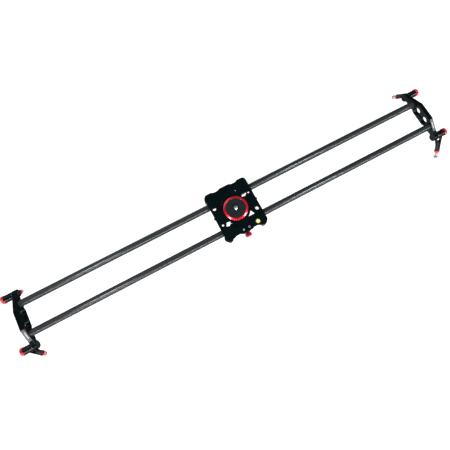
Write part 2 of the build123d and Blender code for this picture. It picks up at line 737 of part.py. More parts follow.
def mount_screws():
    """Eight small screws from below the plate: four into the ring and four into the disc."""
    circles = (
        (RING_SCREW_CIRCLE, 45, PLATE_THICKNESS + RING_SCREW_BITE),
        (DISC_SCREW_CIRCLE, 0, PLATE_THICKNESS + DISC_SCREW_BITE),
    )
    with BuildPart() as screws:
        for circle, start_angle, length in circles:
            with BuildSketch(Plane.XY.offset(PLATE_BOTTOM_Z)):
                with PolarLocations(circle, 4, start_angle=start_angle):
                    Circle(MOUNT_SCREW_HEAD_RADIUS)
            extrude(amount=MOUNT_SCREW_HEAD_LENGTH)
            with BuildSketch(Plane.XY.offset(PLATE_BOTTOM_Z)):
                with PolarLocations(circle, 4, start_angle=start_angle):
                    Circle(MOUNT_SCREW_RADIUS)
            extrude(amount=length)
            with BuildSketch(Plane.XY.offset(PLATE_BOTTOM_Z)):
                with PolarLocations(circle, 4, start_angle=start_angle):
                    RegularPolygon(MOUNT_SOCKET_RADIUS, 6)
            extrude(amount=MOUNT_SOCKET_DEPTH, mode=Mode.SUBTRACT)
    return screws.part


def camera_screw():
    """The captive 3/8 inch screw, with a clip groove above the disc and a slot in its end."""
    length = CAMERA_SCREW_TOP_Z - HAND_KNOB_Z
    with BuildPart() as screw:
        with BuildSketch(Plane.XY.offset(HAND_KNOB_Z)):
            Circle(THREE_EIGHTHS_RADIUS)
        extrude(amount=length)
        top = screw.faces().sort_by(Axis.Z)[-1]
        chamfer(top.edges(), CAMERA_SCREW_EDGE)
        with BuildSketch(Plane.XY.offset(CAMERA_SCREW_TOP_Z)):
            Rectangle(CAMERA_SLOT_WIDTH, 2 * THREE_EIGHTHS_RADIUS)
        extrude(amount=-CAMERA_SLOT_DEPTH, mode=Mode.SUBTRACT)
        with BuildSketch(Plane.XY.offset(CLIP_Z)):
            Circle(THREE_EIGHTHS_RADIUS)
            Circle(CLIP_BORE, mode=Mode.SUBTRACT)
        extrude(amount=CLIP_THICKNESS, mode=Mode.SUBTRACT)
    return screw.part


def camera_screw_clip():
    """The retaining clip that keeps the camera screw in the carriage."""
    with BuildPart() as clip:
        with BuildSketch(Plane.XY.offset(CLIP_Z)):
            Circle(CLIP_RADIUS)
            Circle(CLIP_BORE, mode=Mode.SUBTRACT)
            with Locations((0, -CLIP_RADIUS)):
                Rectangle(CLIP_GAP, CLIP_RADIUS, mode=Mode.SUBTRACT)
        extrude(amount=CLIP_THICKNESS)
    return clip.part


def camera_screw_knob():
    """The hand knob under the plate that turns the camera screw."""
    with BuildPart() as knob:
        with BuildSketch(Plane.XY.offset(HAND_KNOB_Z)):
            Circle(HAND_KNOB_RADIUS)
            with PolarLocations(HAND_KNOB_RADIUS + HAND_KNOB_FLUTE_OFFSET, HAND_KNOB_FLUTES):
                Circle(HAND_KNOB_FLUTE_RADIUS, mode=Mode.SUBTRACT)
        extrude(amount=HAND_KNOB_HEIGHT)
        chamfer(knob.faces().filter_by(Axis.Z).edges(), HAND_KNOB_EDGE)
        with BuildSketch(Plane.XY.offset(HAND_KNOB_Z)):
            Circle(THREE_EIGHTHS_RADIUS)
        extrude(amount=HAND_KNOB_HEIGHT, mode=Mode.SUBTRACT)
    return knob.part


def camera_knob_washer():
    """The nylon washer between the hand knob and the plate."""
    with BuildPart() as washer:
        with BuildSketch(Plane.XY.offset(HAND_KNOB_Z + HAND_KNOB_HEIGHT)):
            Circle(KNOB_WASHER_RADIUS)
            Circle(THREE_EIGHTHS_RADIUS, mode=Mode.SUBTRACT)
        extrude(amount=KNOB_WASHER_THICKNESS)
    return washer.part


# ---------------------------------------------------------------- bubble level

def level_housing():
    """The cup that holds the round level, sunk into the plate."""
    with BuildPart() as housing:
        with BuildSketch(Plane.XY.offset(PLATE_TOP_Z - LEVEL_DEPTH)):
            with Locations(LEVEL_AT):
                Circle(LEVEL_RADIUS)
        extrude(amount=LEVEL_DEPTH + LEVEL_PROUD)
        with BuildSketch(Plane.XY.offset(PLATE_TOP_Z - LEVEL_DEPTH + LEVEL_FLOOR)):
            with Locations(LEVEL_AT):
                Circle(LEVEL_GLASS_RADIUS)
        extrude(amount=LEVEL_DEPTH, mode=Mode.SUBTRACT)
    return housing.part


def level_vial():
    """The liquid-filled vial with a gently domed top."""
    base = PLATE_TOP_Z - LEVEL_DEPTH + LEVEL_FLOOR
    with BuildPart() as vial:
        with BuildSketch(Plane.XY.offset(base)):
            with Locations(LEVEL_AT):
                Circle(LEVEL_GLASS_RADIUS)
        extrude(amount=PLATE_TOP_Z + LEVEL_PROUD - base)
        top = vial.faces().sort_by(Axis.Z)[-1]
        fillet(top.edges(), LEVEL_EDGE)
    return vial.part


# ---------------------------------------------------------------- guide wheels

def wheel_section(corner):
    """The upright plane through a wheel's axle, with X outward from the axle and Y up."""
    end, row = CORNERS[corner]
    return Plane(origin=(end * WHEEL_X, row * WHEEL_Y, RAIL_Z), x_dir=(1, 0, 0), z_dir=(0, -1, 0))


def guide_wheel(corner):
    """One steel wheel whose round groove follows the tube with a small gap."""
    groove = RAIL_RADIUS + GROOVE_GAP
    root = WHEEL_TO_RAIL - groove
    lip = sqrt(groove**2 - (WHEEL_TO_RAIL - WHEEL_RADIUS) ** 2)
    section = wheel_section(corner)
    with BuildPart() as wheel:
        with BuildSketch(section):
            with BuildLine():
                Polyline(
                    (WHEEL_RADIUS, -lip),
                    (WHEEL_RADIUS, -WHEEL_HALF_WIDTH + WHEEL_EDGE),
                    (WHEEL_RADIUS - WHEEL_EDGE, -WHEEL_HALF_WIDTH),
                    (WHEEL_BORE, -WHEEL_HALF_WIDTH),
                    (WHEEL_BORE, WHEEL_HALF_WIDTH),
                    (WHEEL_RADIUS - WHEEL_EDGE, WHEEL_HALF_WIDTH),
                    (WHEEL_RADIUS, WHEEL_HALF_WIDTH - WHEEL_EDGE),
                    (WHEEL_RADIUS, lip),
                )
                ThreePointArc((WHEEL_RADIUS, lip), (root, 0), (WHEEL_RADIUS, -lip))
            make_face()
        revolve(axis=Axis(section.origin, (0, 0, 1)))
    return wheel.part


def at_axles(start_z, height, radius, bore=0.0, corners=tuple(CORNERS)):
    """Round solids on the wheels' axles, from start_z upward, with a bore where one is given."""
    spots = [(CORNERS[name][0] * WHEEL_X, CORNERS[name][1] * WHEEL_Y) for name in corners]
    with BuildPart() as rounds:
        with BuildSketch(Plane.XY.offset(start_z)):
            with Locations(*spots):
                Circle(radius)
                if bore:
                    Circle(bore, mode=Mode.SUBTRACT)
        extrude(amount=height)
    return rounds.part


def wheel_bearings():
    """Four bearing cores that the wheels turn on."""
    start = RAIL_Z - BEARING_HALF_WIDTH
    return at_axles(start, 2 * BEARING_HALF_WIDTH, BEARING_RADIUS, BOLT_RADIUS)


def wheel_spacers():
    """Two plain round spacers above the far wheels."""
    start = RAIL_Z + BEARING_HALF_WIDTH
    height = PLATE_BOTTOM_Z - start
    return at_axles(start, height, SPACER_RADIUS, BOLT_RADIUS, ("left_far", "right_far"))


def eccentric_spacers():
    """Two hexagonal eccentric spacers above the near wheels, which set the wheels' grip."""
    start = RAIL_Z + BEARING_HALF_WIDTH
    spots = [(end * WHEEL_X, -WHEEL_Y) for end in ENDS.values()]
    with BuildPart() as spacers:
        with BuildSketch(Plane.XY.offset(start)):
            with Locations(*spots):
                RegularPolygon(SPACER_RADIUS, 6)
                Circle(BOLT_RADIUS, mode=Mode.SUBTRACT)
        extrude(amount=PLATE_BOTTOM_Z - start)
    return spacers.part


def axle_washers():
    """Four washers under the bearings."""
    start = RAIL_Z - BEARING_HALF_WIDTH - AXLE_WASHER_THICKNESS
    return at_axles(start, AXLE_WASHER_THICKNESS, AXLE_WASHER_RADIUS, BOLT_RADIUS)


def wheel_axle_bolts():
    """Four cap screws from below, through washer, bearing and spacer into the plate."""
    shoulder = RAIL_Z - BEARING_HALF_WIDTH - AXLE_WASHER_THICKNESS
    start = shoulder - AXLE_HEAD_LENGTH
    spots = corner_spots(WHEEL_X, WHEEL_Y)
    with BuildPart() as bolts:
        with BuildSketch(Plane.XY.offset(start)):
            with Locations(*spots):
                Circle(BOLT_HEAD_RADIUS)
        extrude(amount=AXLE_HEAD_LENGTH)
        with BuildSketch(Plane.XY.offset(start)):
            with Locations(*spots):
                Circle(BOLT_RADIUS)
        extrude(amount=PLATE_BOTTOM_Z + AXLE_THREAD_DEPTH - start)
        with BuildSketch(Plane.XY.offset(start)):
            with Locations(*spots):
                RegularPolygon(BOLT_SOCKET_RADIUS, 6)
        extrude(amount=BOLT_SOCKET_DEPTH, mode=Mode.SUBTRACT)
    return bolts.part


# ---------------------------------------------------------------- rail brake

def across_plane(y):
    """The upright plane at y on the brake's axis, facing outward over the near edge."""
    return Plane(origin=(0, y, RAIL_Z), x_dir=(1, 0, 0), z_dir=(0, -1, 0))


def brake_block():
    """The block under the plate's near edge that carries the brake."""
    outer, inner = BRAKE_BLOCK_Y
    bottom = RAIL_Z - BRAKE_BLOCK_DROP
    with BuildPart() as block:
        with BuildSketch(Plane.XY.offset(bottom)):
            with Locations((0, (outer + inner) / 2)):
                Rectangle(2 * BRAKE_BLOCK_HALF_X, inner - outer)
        extrude(amount=PLATE_BOTTOM_Z - bottom)
        fillet(block.edges().filter_by(Axis.Z), BRAKE_BLOCK_CORNER)
        chamfer(block.faces().sort_by(Axis.Z)[0].edges(), BRAKE_BLOCK_EDGE)
        with BuildSketch(across_plane(outer)):
            Circle(BOLT_RADIUS + HINGE_CLEARANCE)
        extrude(amount=outer - inner, mode=Mode.SUBTRACT)
        with BuildSketch(across_plane(inner)):
            Circle(BRAKE_PAD_RADIUS + HINGE_CLEARANCE)
        extrude(amount=BRAKE_PAD_BORE_DEPTH, mode=Mode.SUBTRACT)
        with BuildSketch(Plane.XY.offset(PLATE_BOTTOM_Z)):
            with Locations((-BRAKE_SCREW_X, BRAKE_SCREW_Y), (BRAKE_SCREW_X, BRAKE_SCREW_Y)):
                Circle(BLOCK_SCREW_RADIUS)
        extrude(amount=-BLOCK_SCREW_BITE, mode=Mode.SUBTRACT)
    return block.part


def brake_block_screws():
    """Two button-head screws through the plate into the brake block."""
    with BuildPart() as screws:
        with BuildSketch(Plane.XY.offset(PLATE_TOP_Z)):
            with Locations((-BRAKE_SCREW_X, BRAKE_SCREW_Y), (BRAKE_SCREW_X, BRAKE_SCREW_Y)):
                Circle(BLOCK_SCREW_HEAD_RADIUS)
        extrude(amount=BLOCK_SCREW_HEAD_LENGTH)
        fillet(screws.faces().group_by(Axis.Z)[-1].edges(), BLOCK_SCREW_CROWN)
        with BuildSketch(Plane.XY.offset(PLATE_TOP_Z)):
            with Locations((-BRAKE_SCREW_X, BRAKE_SCREW_Y), (BRAKE_SCREW_X, BRAKE_SCREW_Y)):
                Circle(BLOCK_SCREW_RADIUS)
        extrude(amount=-PLATE_THICKNESS - BLOCK_SCREW_BITE)
        with BuildSketch(Plane.XY.offset(PLATE_TOP_Z + BLOCK_SCREW_HEAD_LENGTH)):
            with Locations((-BRAKE_SCREW_X, BRAKE_SCREW_Y), (BRAKE_SCREW_X, BRAKE_SCREW_Y)):
                RegularPolygon(BLOCK_SOCKET_RADIUS, 6)
        extrude(amount=-BLOCK_SOCKET_DEPTH, mode=Mode.SUBTRACT)
    return screws.part


def brake_pad_faces():
    """Where the pad's front and back lie when the brake is just off the tube."""
    front = -RAIL_OFFSET_Y - RAIL_RADIUS - BRAKE_PAD_GAP
    return front, front - BRAKE_PAD_LENGTH


def brake_pad():
    """The nylon pad that presses on the near tube, with a socket for the screw's tip."""
    front, back = brake_pad_faces()
    with BuildPart() as pad:
        with BuildSketch(across_plane(front)):
            Circle(BRAKE_PAD_RADIUS)
        extrude(amount=front - back)
        with BuildSketch(across_plane(back)):
            Circle(BRAKE_TIP_RADIUS + HINGE_CLEARANCE)
        extrude(amount=-BRAKE_SOCKET_DEPTH, mode=Mode.SUBTRACT)
    return pad.part


def brake_screw():
    """The brake's thumb screw, from the knob to its slim tip inside the pad."""
    back = brake_pad_faces()[1]
    tip_end = back + BRAKE_SOCKET_DEPTH - BRAKE_PAD_TRAVEL - BRAKE_TIP_GAP
    shoulder = back - BRAKE_PAD_TRAVEL - BRAKE_SHOULDER_GAP
    knob_end = BRAKE_KNOB_Y[1] - BRAKE_SCREW_IN_KNOB
    with BuildPart() as screw:
        with BuildSketch(across_plane(shoulder)):
            Circle(BOLT_RADIUS)
        extrude(amount=shoulder - knob_end)
        with BuildSketch(across_plane(tip_end)):
            Circle(BRAKE_TIP_RADIUS)
        extrude(amount=tip_end - shoulder)
    return screw.part


def brake_knob():
    """The drum-shaped red knob with a short neck towards the carriage."""
    outer, inner = BRAKE_KNOB_Y
    length = inner - outer
    neck_end = (BRAKE_KNOB_NECK, inner - BRAKE_NECK_LENGTH)
    flare = (BRAKE_FLARE_RADIUS, outer + BRAKE_FLARE_LENGTH)
    rim_start = (BRAKE_KNOB_RADIUS, outer + BRAKE_RIM_LENGTH)
    section = Plane(origin=(0, 0, RAIL_Z), x_dir=(1, 0, 0), z_dir=(0, 0, 1))
    with BuildPart() as knob:
        with BuildSketch(section):
            with BuildLine():
                Polyline(
                    rim_start,
                    (BRAKE_KNOB_RADIUS, outer + BRAKE_RIM_EDGE),
                    (BRAKE_KNOB_RADIUS - BRAKE_RIM_EDGE, outer),
                    (0, outer),
                    (0, inner),
                    (BRAKE_KNOB_NECK, inner),
                    neck_end,
                )
                ThreePointArc(neck_end, flare, rim_start)
            make_face()
        revolve(axis=Axis(section.origin, (0, 1, 0)))
        with BuildSketch(across_plane(inner)):
            with PolarLocations(BRAKE_KNOB_RADIUS + BRAKE_KNOB_FLUTE_OFFSET, BRAKE_KNOB_FLUTES):
                Circle(BRAKE_KNOB_FLUTE_RADIUS)
        extrude(amount=length, mode=Mode.SUBTRACT)
        with BuildSketch(across_plane(inner)):
            Circle(BOLT_RADIUS)
        extrude(amount=BRAKE_SCREW_IN_KNOB, mode=Mode.SUBTRACT)
    return knob.part


if __name__ == "__main__":
    save(rail_tube(1), "rail_tube_far")
    save(rail_tube(-1), "rail_tube_near")
    save(rail_end_caps(), "rail_end_caps")
    for side, end in ENDS.items():
        save(end_bracket(end), f"end_bracket_{side}")
    save(tube_grub_screws(), "tube_grub_screws")
    save(label_plates(), "label_plates")
    save(leg_hinge_bolts(), "leg_hinge_bolts")
    save(leg_friction_washers(), "leg_friction_washers")
    for leg in LEGS:
        save(leg_arm(leg), f"leg_arm_{leg.name}")
        save(lock_knob(leg), f"lock_knob_{leg.name}")
        save(foot_lock_ring(leg), f"foot_lock_ring_{leg.name}")
        save(foot_stud(leg), f"foot_stud_{leg.name}")
        save(foot_tip(leg), f"foot_tip_{leg.name}")
    save(carriage_plate(), "carriage_plate")
    save(end_stop_bumpers(), "end_stop_bumpers")
    save(mount_ring(), "mount_ring")
    save(mount_disc(), "mount_disc")
    save(mount_pad(), "mount_pad")
    save(mount_screws(), "mount_screws")
    save(camera_screw(), "camera_screw")
    save(camera_screw_clip(), "camera_screw_clip")
    save(camera_screw_knob(), "camera_screw_knob")
    save(camera_knob_washer(), "camera_knob_washer")
    save(level_housing(), "level_housing")
    save(level_vial(), "level_vial")
    for corner in CORNERS:
        save(guide_wheel(corner), f"guide_wheel_{corner}")
    save(wheel_bearings(), "wheel_bearings")
    save(wheel_spacers(), "wheel_spacers")
    save(eccentric_spacers(), "eccentric_spacers")
    save(axle_washers(), "axle_washers")
    save(wheel_axle_bolts(), "wheel_axle_bolts")
    save(brake_block(), "brake_block")
    save(brake_block_screws(), "brake_block_screws")
    save(brake_pad(), "brake_pad")
    save(brake_screw(), "brake_screw")
    save(brake_knob(), "brake_knob")
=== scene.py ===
import json
import math

import bmesh
import bpy
from mathutils import Matrix, Vector


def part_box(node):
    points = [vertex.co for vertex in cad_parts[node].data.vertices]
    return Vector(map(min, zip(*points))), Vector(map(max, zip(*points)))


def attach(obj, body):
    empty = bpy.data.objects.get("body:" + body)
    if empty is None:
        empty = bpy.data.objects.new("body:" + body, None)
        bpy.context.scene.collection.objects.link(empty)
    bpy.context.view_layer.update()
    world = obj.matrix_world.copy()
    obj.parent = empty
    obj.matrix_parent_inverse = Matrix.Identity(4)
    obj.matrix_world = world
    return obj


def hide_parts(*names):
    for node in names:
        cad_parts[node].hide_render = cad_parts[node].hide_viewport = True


# Looks for the camera slider: fine meshes for the turned, threaded and knurled pieces, a procedural
# material for every finish, and a plain studio. Metres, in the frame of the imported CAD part.

MM = 0.001
CARRIAGE = "carriage"
UP = Vector((0, 0, 1))

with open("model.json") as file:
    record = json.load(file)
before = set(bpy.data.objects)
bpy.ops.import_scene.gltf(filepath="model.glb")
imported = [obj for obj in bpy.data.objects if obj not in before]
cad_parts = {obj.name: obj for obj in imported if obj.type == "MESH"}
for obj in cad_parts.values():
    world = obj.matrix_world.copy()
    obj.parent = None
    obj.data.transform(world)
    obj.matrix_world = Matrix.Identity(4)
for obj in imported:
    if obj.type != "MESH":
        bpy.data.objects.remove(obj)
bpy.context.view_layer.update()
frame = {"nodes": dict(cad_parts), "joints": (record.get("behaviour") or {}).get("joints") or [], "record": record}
record = frame["record"]
joints = {joint["name"]: joint for joint in frame["joints"]}
CORNERS = ("left_near", "left_far", "right_near", "right_far")


# ---------------------------------------------------------------- reading the frame

def joint_axis(name):
    """A joint's point and unit axis; a slide has no point of its own."""
    joint = joints[name]
    point = Vector(joint.get("pos_m", (0, 0, 0)))
    return point, Vector(joint["axis"]).normalized()


def extent(node, point, axis):
    """Where a CAD node starts and ends along an axis through a point, and its largest radius."""
    along, radius = [], 0.0
    for vertex in frame["nodes"][node].data.vertices:
        offset = vertex.co - point
        height = offset.dot(axis)
        along.append(height)
        radius = max(radius, (offset - axis * height).length)
    return min(along), max(along), radius


def middle(node):
    """The middle of a CAD node's box."""
    low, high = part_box(node)
    return (low + high) / 2


# ---------------------------------------------------------------- meshes

SHARP = math.radians(32)


def finish_mesh(name, bm, body, material, stands_for=()):
    """Turn a bmesh into a piece that rides on a body, with smooth faces and sharp creases."""
    bmesh.ops.recalc_face_normals(bm, faces=bm.faces)
    for face in bm.faces:
        face.smooth = True
    for edge in bm.edges:
        edge.smooth = len(edge.link_faces) == 2 and edge.calc_face_angle() < SHARP
    mesh = bpy.data.meshes.new(name)
    bm.to_mesh(mesh)
    bm.free()
    piece = bpy.data.objects.new(name, mesh)
    bpy.context.scene.collection.objects.link(piece)
    mesh.materials.append(material)
    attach(piece, body)
    for node in stands_for:
        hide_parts(node)
    return piece


def side_vectors(axis):
    """Two unit vectors square to an axis and to each other."""
    helper = Vector((1, 0, 0)) if abs(axis.x) < 0.9 else Vector((0, 1, 0))
    first = (helper - axis * helper.dot(axis)).normalized()
    return first, axis.cross(first)


def add_lathe(bm, point, axis, profile, segments, closed=False, shape=None):
    """Turn a profile of (radius, height) round an axis. A radius of 0 makes a pole, closed joins the
    last point to the first, and shape(radius, height, angle) may change the radius on the way round."""
    across, side = side_vectors(axis)
    rings = []
    for radius, height in profile:
        centre = point + axis * height
        if radius == 0:
            rings.append([bm.verts.new(centre)])
            continue
        ring = []
        for step in range(segments):
            angle = 2 * math.pi * step / segments
            reach = shape(radius, height, angle) if shape else radius
            spoke = across * (reach * math.cos(angle)) + side * (reach * math.sin(angle))
            ring.append(bm.verts.new(centre + spoke))
        rings.append(ring)
    pairs = list(zip(rings, rings[1:]))
    if closed:
        pairs.append((rings[-1], rings[0]))
    for lower, upper in pairs:
        for step in range(segments):
            after = (step + 1) % segments
            corners = [lower[step % len(lower)], lower[after % len(lower)]]
            corners += [upper[after % len(upper)], upper[step % len(upper)]]
            unique = list(dict.fromkeys(corners))
            if len(unique) > 2:
                bm.faces.new(unique)


def lathe(name, point, axis, profile, body, material, stands_for=(), segments=96, closed=False,
          shape=None):
    """One turned piece."""
    bm = bmesh.new()
    add_lathe(bm, point, axis, profile, segments, closed, shape)
    return finish_mesh(name, bm, body, material, stands_for)


def arc(centre, radius, start, end, steps):
    """Points of a circular arc in a profile, from one angle to another in degrees."""
    points = []
    for step in range(steps + 1):
        angle = math.radians(start + (end - start) * step / steps)
        points.append((centre[0] + radius * math.cos(angle), centre[1] + radius * math.sin(angle)))
    return points


def dome(radius, base, rise, steps):
    """Points of a dome in a profile, from its rim up to its pole."""
    points = []
    for step in range(steps + 1):
        angle = math.pi / 2 * step / steps
        across = radius * math.cos(angle) if step < steps else 0
        points.append((across, base + rise * math.sin(angle)))
    return points


RIB_SEGMENTS = 6


def ribs(count, depth, start, end, core):
    """A straight knurl of rounded ribs between two heights; nothing within the core radius changes."""
    def shape(radius, height, angle):
        if start <= height <= end and radius > core:
            return radius - depth * (0.5 - 0.5 * math.cos(count * angle)) ** 1.5
        return radius
    return shape


def threaded_rod(bm, point, axis, start, end, radius, pitch, lead_in, segments=40, steps=8):
    """A rod with a helical thread cut into it and a chamfer at each end."""
    depth = 0.54 * pitch
    rows = max(2, round((end - start) / pitch * steps))
    step = (end - start) / rows

    def shape(_, height, angle):
        phase = (height / pitch - angle / (2 * math.pi)) % 1.0
        flank = min(1.0, max(0.0, 2.6 * abs(phase - 0.5) - 0.15))
        from_end = min(height - start, end - height)
        return min(radius - depth * flank, radius - lead_in + from_end)

    core = radius - lead_in
    profile = [(0, start), (core, start)]
    profile += [(radius, start + step * row) for row in range(1, rows)]
    profile += [(core, end), (0, end)]
    add_lathe(bm, point, axis, profile, segments, shape=shape)


def cut(piece, cutter):
    """Cut one mesh out of another for good."""
    modifier = piece.modifiers.new("cut", "BOOLEAN")
    modifier.operation = "DIFFERENCE"
    modifier.solver = "EXACT"
    modifier.object = cutter
    evaluated = piece.evaluated_get(bpy.context.evaluated_depsgraph_get())
    result = bpy.data.meshes.new_from_object(evaluated)
    piece.modifiers.clear()
    piece.data = result
    bpy.data.objects.remove(cutter)


# ---------------------------------------------------------------- shader helpers

class Shader:
    """A material's node tree, with short ways to add and join nodes."""

    def __init__(self, name):
        self.material = bpy.data.materials.new(name)
        self.material.use_nodes = True
        self.tree = self.material.node_tree
        self.principled = self.tree.nodes["Principled BSDF"]
        self.position = self.add("ShaderNodeTexCoord").outputs["Object"]

    def add(self, kind, inputs=None, **settings):
        """Add a node with its inputs and settings."""
        node = self.tree.nodes.new(kind)
        for key, value in settings.items():
            setattr(node, key, value)
        for key, value in (inputs or {}).items():
            self.put(node.inputs[key], value)
        return node

    def put(self, socket, value):
        """Join an output to a socket, or set a constant on it."""
        if isinstance(value, bpy.types.NodeSocket):
            self.tree.links.new(value, socket)
        else:
            socket.default_value = value

    def math(self, operation, first, second=0.0, third=0.0):
        """One arithmetic step."""
        inputs = {0: first, 1: second, 2: third}
        return self.add("ShaderNodeMath", inputs, operation=operation).outputs[0]

    def ramp(self, value, low, high, to_low=0.0, to_high=1.0):
        """The value's stretch from low to high, spread over another stretch and held at its ends."""
        inputs = {"Value": value, "From Min": low, "From Max": high, "To Min": to_low, "To Max": to_high}
        return self.add("ShaderNodeMapRange", inputs, clamp=True).outputs["Result"]

    def mix(self, share, first, second):
        """A blend of two colours."""
        node = self.add("ShaderNodeMix", {"Factor": share}, data_type="RGBA")
        self.put(node.inputs["A"], first)
        self.put(node.inputs["B"], second)
        return node.outputs["Result"]

    def noise(self, scale, detail=2.0, stretch=(1, 1, 1), roughness=0.5):
        """Noise over the piece's own coordinates, with scale in features per metre."""
        mapping = self.add("ShaderNodeMapping", {"Vector": self.position, "Scale": stretch})
        inputs = {"Vector": mapping.outputs[0], "Scale": scale, "Detail": detail, "Roughness": roughness}
        return self.add("ShaderNodeTexNoise", inputs).outputs["Fac"]

    def bump(self, height, distance, strength):
        """A normal that follows a height."""
        inputs = {"Height": height, "Distance": distance, "Strength": strength}
        return self.add("ShaderNodeBump", inputs).outputs["Normal"]

    def edges(self, radius):
        """1 along outer edges and 0 on open faces."""
        rounded = self.add("ShaderNodeBevel", {"Radius": radius}, samples=4).outputs["Normal"]
        flat = self.add("ShaderNodeNewGeometry").outputs["Normal"]
        turned = self.add("ShaderNodeVectorMath", {0: rounded, 1: flat}, operation="DOT_PRODUCT")
        return self.ramp(turned.outputs["Value"], 0.99, 0.86)

    def set(self, **values):
        """Set the Principled shader's inputs; names are written with underscores."""
        for key, value in values.items():
            self.put(self.principled.inputs[key.replace("_", " ")], value)
        return self.material


def grey(value):
    """An opaque grey."""
    return (value, value, value, 1.0)


# ---------------------------------------------------------------- materials

DULL_EDGES = (0.25, 0.25, 0.25, 1)
TUBE_TOWS = 36
TUBE_TOW_LENGTH = 1.57 * MM


def carbon_material():
    """Satin 2x2 twill carbon, laid round both tubes."""
    s = Shader("carbon_twill")
    tube = middle("rail_tube_far")
    axes = s.add("ShaderNodeSeparateXYZ", {0: s.position}).outputs
    across = s.math("SUBTRACT", s.math("ABSOLUTE", axes[1]), tube.y)
    upward = s.math("SUBTRACT", axes[2], tube.z)
    turn = s.math("DIVIDE", s.math("ARCTAN2", across, upward), 2 * math.pi)
    around = s.math("MULTIPLY", s.math("ADD", turn, 1.0), TUBE_TOWS)
    along = s.math("DIVIDE", s.math("ADD", axes[0], 1.0), TUBE_TOW_LENGTH)
    step = s.math("ADD", s.math("FLOOR", around), s.math("FLOOR", along))
    over = s.math("LESS_THAN", s.math("MODULO", step, 4.0), 1.5)
    crown_along = s.math("SINE", s.math("MULTIPLY", s.math("FRACT", around), math.pi))
    crown_around = s.math("SINE", s.math("MULTIPLY", s.math("FRACT", along), math.pi))
    crown = s.add("ShaderNodeMix", {"Factor": over, "A": crown_around, "B": crown_along}).outputs["Result"]
    fibres = s.noise(900.0, 3.0, (0.15, 4, 4))
    cloud = s.noise(22.0, 2.0)
    tow = s.mix(over, (0.052, 0.057, 0.060, 1), (0.068, 0.074, 0.078, 1))
    # Painted shade: each tow darkens towards its edges, in the creases between tows.
    shaded = s.mix(s.ramp(crown, 0.0, 0.45), (0.030, 0.033, 0.035, 1), tow)
    colour = s.mix(s.ramp(fibres, 0.35, 0.75, 0.0, 0.22), shaded, (0.12, 0.125, 0.13, 1))
    rough = s.math("ADD", s.ramp(over, 0.0, 1.0, 0.16, 0.19), s.ramp(cloud, 0.3, 0.7, -0.02, 0.02))
    normal = s.bump(crown, 0.02 * MM, 0.15)
    return s.set(Base_Color=colour, Roughness=rough, Normal=normal, Metallic=0.6, Specular_IOR_Level=0.0,
                 Specular_Tint=DULL_EDGES)


def anodised_material(name, base, wear_and_sheen, roughness):
    """Bead-blasted and anodised aluminium: a fine even grain, faint clouding and paler edges, partly wear and
    partly painted highlight where the edges catch light. Gives the shader with its colour, roughness and grain,
    for the caller to finish."""
    s = Shader(name)
    grain = s.noise(5200.0, 2.0)
    cloud = s.noise(38.0, 3.0)
    scuffs = s.noise(420.0, 4.0)
    # Paler edges: partly rubbed wear, partly painted highlight where the edges catch light.
    edge = s.math("MULTIPLY", s.edges(0.35 * MM), s.ramp(scuffs, 0.30, 0.62, 0.35, 1.0))
    tone = s.mix(s.ramp(cloud, 0.3, 0.7), base, tuple(c * 1.35 for c in base[:3]) + (1,))
    speckled = s.mix(s.ramp(grain, 0.55, 0.8, 0.0, 0.35), tone, wear_and_sheen)
    colour = s.mix(s.math("MULTIPLY", edge, 0.75), speckled, wear_and_sheen)
    rough = s.math("ADD", s.ramp(grain, 0.2, 0.8, roughness - 0.05, roughness + 0.07),
                   s.ramp(cloud, 0.3, 0.7, -0.03, 0.04))
    return s, colour, rough, grain


def black_anodised_material(name, base, metallic, roughness):
    """Black anodised aluminium, which stays dark even where it is seen edge on."""
    # A slightly lighter tone for the edges and grain speckle: partly wear, partly painted highlight.
    wear_and_sheen = tuple(c + 0.022 for c in base) + (1,)
    s, colour, rough, grain = anodised_material(name, base + (1,), wear_and_sheen, roughness)
    normal = s.bump(grain, 0.020 * MM, 0.35)
    return s.set(Base_Color=colour, Roughness=rough, Normal=normal, Metallic=metallic,
                 Specular_IOR_Level=0.0, Specular_Tint=DULL_EDGES)


def red_anodised_material(name, base):
    """Bright red anodised aluminium with the lathe's fine marks and paler edges, partly polish and partly painted
    highlight.
    """
    # The lighter red on the edges and grain speckle: partly polish, partly painted highlight.
    s, colour, rough, grain = anodised_material(name, base + (1,), (0.80, 0.050, 0.075, 1), 0.24)
    normal = s.bump(grain, 0.006 * MM, 0.15)
    return s.set(Base_Color=colour, Roughness=rough, Normal=normal, Metallic=0.50, Coat_Weight=1.0,
                 Coat_Roughness=0.12)


def steel_material(name, base, roughness, stretch, metallic=1.0, lines=2600.0):
    """Metal with fine tool marks; stretch says which way they run."""
    s = Shader(name)
    marks = s.noise(lines, 3.0, stretch, 0.65)
    cloud = s.noise(160.0, 3.0)
    dark = tuple(c * 0.72 for c in base) + (1,)
    light = tuple(min(1.0, c * 1.06) for c in base) + (1,)
    colour = s.mix(s.ramp(marks, 0.3, 0.7), dark, light)
    rough = s.math("ADD", s.ramp(marks, 0.25, 0.75, roughness - 0.06, roughness + 0.08),
                   s.ramp(cloud, 0.3, 0.7, -0.03, 0.03))
    normal = s.bump(marks, 0.012 * MM, 0.30)
    return s.set(Base_Color=colour, Roughness=rough, Normal=normal, Metallic=metallic)


LABEL_STRIPE = (1.4 * MM, 9.0 * MM)  # half of its width and half of its length
# The plate's light grey: its own brushed metal, partly a painted reflection of the light the facet catches.
LABEL_GREY_AND_SHEEN = (0.120, 0.118, 0.122, 1)
LABEL_STRIPE_GREY = (0.60, 0.60, 0.61, 1)


